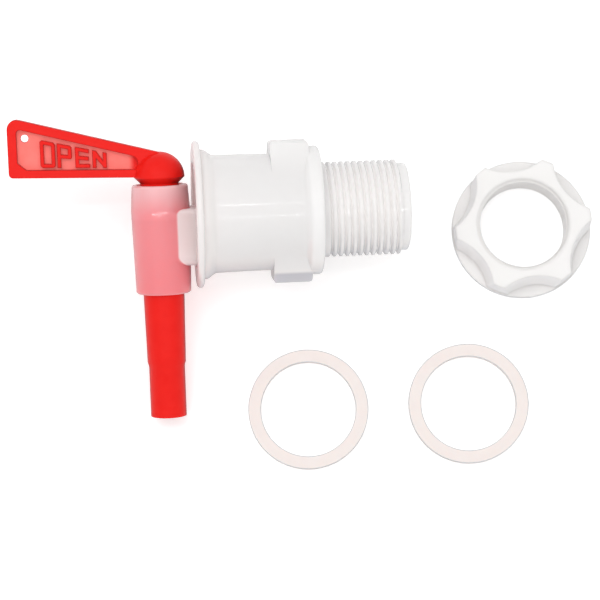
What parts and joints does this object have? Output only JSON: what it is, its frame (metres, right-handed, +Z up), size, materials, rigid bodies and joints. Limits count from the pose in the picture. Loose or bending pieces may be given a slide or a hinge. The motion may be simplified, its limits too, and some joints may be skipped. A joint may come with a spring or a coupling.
{
  "type": "beverage dispenser spigot",
  "caption": "Plastic quarter-turn spigot with a lever handle, flanged body and threaded tail, lying beside its back nut and two sealing washers.",
  "frame": {"origin": "middle of the full-radius stretch of the threaded tail, on the tail's axis", "axes": "+Z up from the surface the loose set lies on; +X runs back along the tail in plan; +Y runs in plan from the nozzle towards the dome and lever"},
  "size_m": [0.162, 0.0989, 0.0407],
  "materials": {
    "body_plastic": "natural translucent white polypropylene, satin",
    "lever_plastic": "glossy red moulded plastic",
    "nut_plastic": "natural white polypropylene, satin",
    "washer_rubber": "soft pale silicone rubber"
  },
  "bodies": {
    "tap": {"tap_body": "body_plastic", "back_nut": "nut_plastic", "outer_washer": "washer_rubber", "inner_washer": "washer_rubber"},
    "plug": {"plug_lever": "lever_plastic"}
  },
  "joints": [
    {"name": "lever_turn", "type": "hinge", "parent": "tap", "child": "plug", "pos_m": [-0.05494, 0, 0.00416], "axis": [0.0221, 0.9563, 0.2917], "range_deg": [0, 90]}
  ]
}
